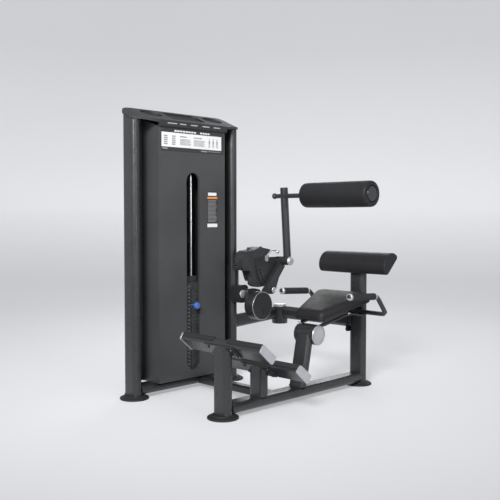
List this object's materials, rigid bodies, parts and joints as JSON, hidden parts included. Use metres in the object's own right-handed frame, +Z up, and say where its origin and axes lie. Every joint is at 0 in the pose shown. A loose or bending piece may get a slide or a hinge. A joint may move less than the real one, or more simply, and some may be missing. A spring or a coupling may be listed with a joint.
{
  "type": "back extension machine",
  "caption": "Seated back extension machine: weight-stack tower, angled footrests, seat and lumbar pad, and a swinging arm with a back roller.",
  "frame": {"origin": "centre of the footprint, on the floor", "axes": "+Z up; +X from the weight tower toward the seat lane; +Y toward the lumbar pad, so the sitter faces -Y"},
  "size_m": [0.957, 1.247, 1.5064],
  "materials": {
    "powder_coat": "satin charcoal powder coat",
    "sheet": "satin dark grey powder coat",
    "black_plastic": "fine-grained black moulding",
    "foot_rubber": "matt black rubber",
    "chrome": "polished",
    "silver": "satin silver",
    "iron": "black enamel",
    "vinyl": "black grained upholstery over foam",
    "blue_knob": "blue moulded knob",
    "cable": "coated steel cable"
  },
  "bodies": {
    "frame": {"front_column": "powder_coat", "rear_column": "powder_coat", "tower_base_rail": "powder_coat", "link_rail": "powder_coat", "rod_crosshead": "powder_coat", "base_rail": "powder_coat", "front_post": "powder_coat", "middle_post": "powder_coat", "seat_leg": "powder_coat", "seat_bracket": "powder_coat", "rear_upright": "powder_coat", "corner_post": "powder_coat", "cross_member": "powder_coat", "side_member": "powder_coat", "lumbar_bracket": "powder_coat", "handle_bar": "powder_coat", "pivot_bracket": "powder_coat", "drum": "powder_coat", "drum_cover": "powder_coat", "strut": "powder_coat", "upper_footrest": "powder_coat", "lower_footrest": "powder_coat", "front_shroud": "sheet", "rear_shroud": "sheet", "top_cover": "black_plastic", "placard": "black_plastic", "front_column_foot": "foot_rubber", "rear_column_foot": "foot_rubber", "front_post_foot": "foot_rubber", "rear_upright_foot": "foot_rubber", "stack_buffer": "foot_rubber", "upper_tread_inner": "foot_rubber", "upper_tread_outer": "foot_rubber", "lower_tread_inner": "foot_rubber", "lower_tread_outer": "foot_rubber", "grip_inner": "foot_rubber", "grip_outer": "foot_rubber", "guide_rod_front": "chrome", "guide_rod_rear": "chrome", "hub_cap": "silver", "upper_cap_inner": "silver", "upper_cap_outer": "silver", "lower_cap_inner": "silver", "lower_cap_outer": "silver", "resting_plates": "iron", "seat_cushion": "vinyl", "lumbar_pad": "vinyl", "lift_cable": "cable"},
    "arm": {"sector_plate": "powder_coat", "counterweight": "iron", "pivot_shaft": "silver", "arm_upright": "powder_coat", "roller_axle": "powder_coat"},
    "stack": {"top_plate": "iron", "raised_plates": "iron"},
    "roller": {"roller_pad": "vinyl"},
    "pull_pin_body": {"pull_pin": "silver"},
    "lever": {"release_lever": "silver"},
    "pin": {"selector_pin": "blue_knob"},
    "pulley": {"top_pulley": "black_plastic"}
  },
  "joints": [
    {"name": "arm_swing", "type": "hinge", "parent": "frame", "child": "arm", "pos_m": [-0.179, 0.3735, 0.685], "axis": [-1, 0, 0], "range_deg": [0, 60]},
    {"name": "roller_spin", "type": "hinge", "parent": "arm", "child": "roller", "pos_m": [0.2035, 0.3435, 1.059], "axis": [1, 0, 0], "continuous": true},
    {"name": "lever_turn", "type": "hinge", "parent": "arm", "child": "lever", "pos_m": [-0.2335, 0.2515, 0.695], "axis": [1, 0, 0], "range_deg": [0, 18], "stiffness_Nm_per_rad": 0.6, "springref_deg": -17.19},
    {"name": "pull_pin_slide", "type": "slide", "parent": "frame", "child": "pull_pin_body", "axis": [1, 0, 0], "range_m": [0, 0.012], "stiffness_N_per_m": 800, "springref_m": -0.004},
    {"name": "stack_lift", "type": "slide", "parent": "frame", "child": "stack", "axis": [0, 0, 1], "range_m": [0, 0.32], "deforming": ["lift_cable"]},
    {"name": "selector_slide", "type": "slide", "parent": "stack", "child": "pin", "axis": [1, 0, 0], "range_m": [0, 0.09]},
    {"name": "pulley_turn", "type": "hinge", "parent": "frame", "child": "pulley", "pos_m": [-0.4075, -0.1551, 1.335], "axis": [-1, 0, 0], "range_deg": [0, 366]}
  ],
  "couplings": [
    {"joint": "stack_lift", "follows": "arm_swing", "m_per_rad": 0.3},
    {"joint": "pulley_turn", "follows": "arm_swing", "ratio": 6}
  ]
}
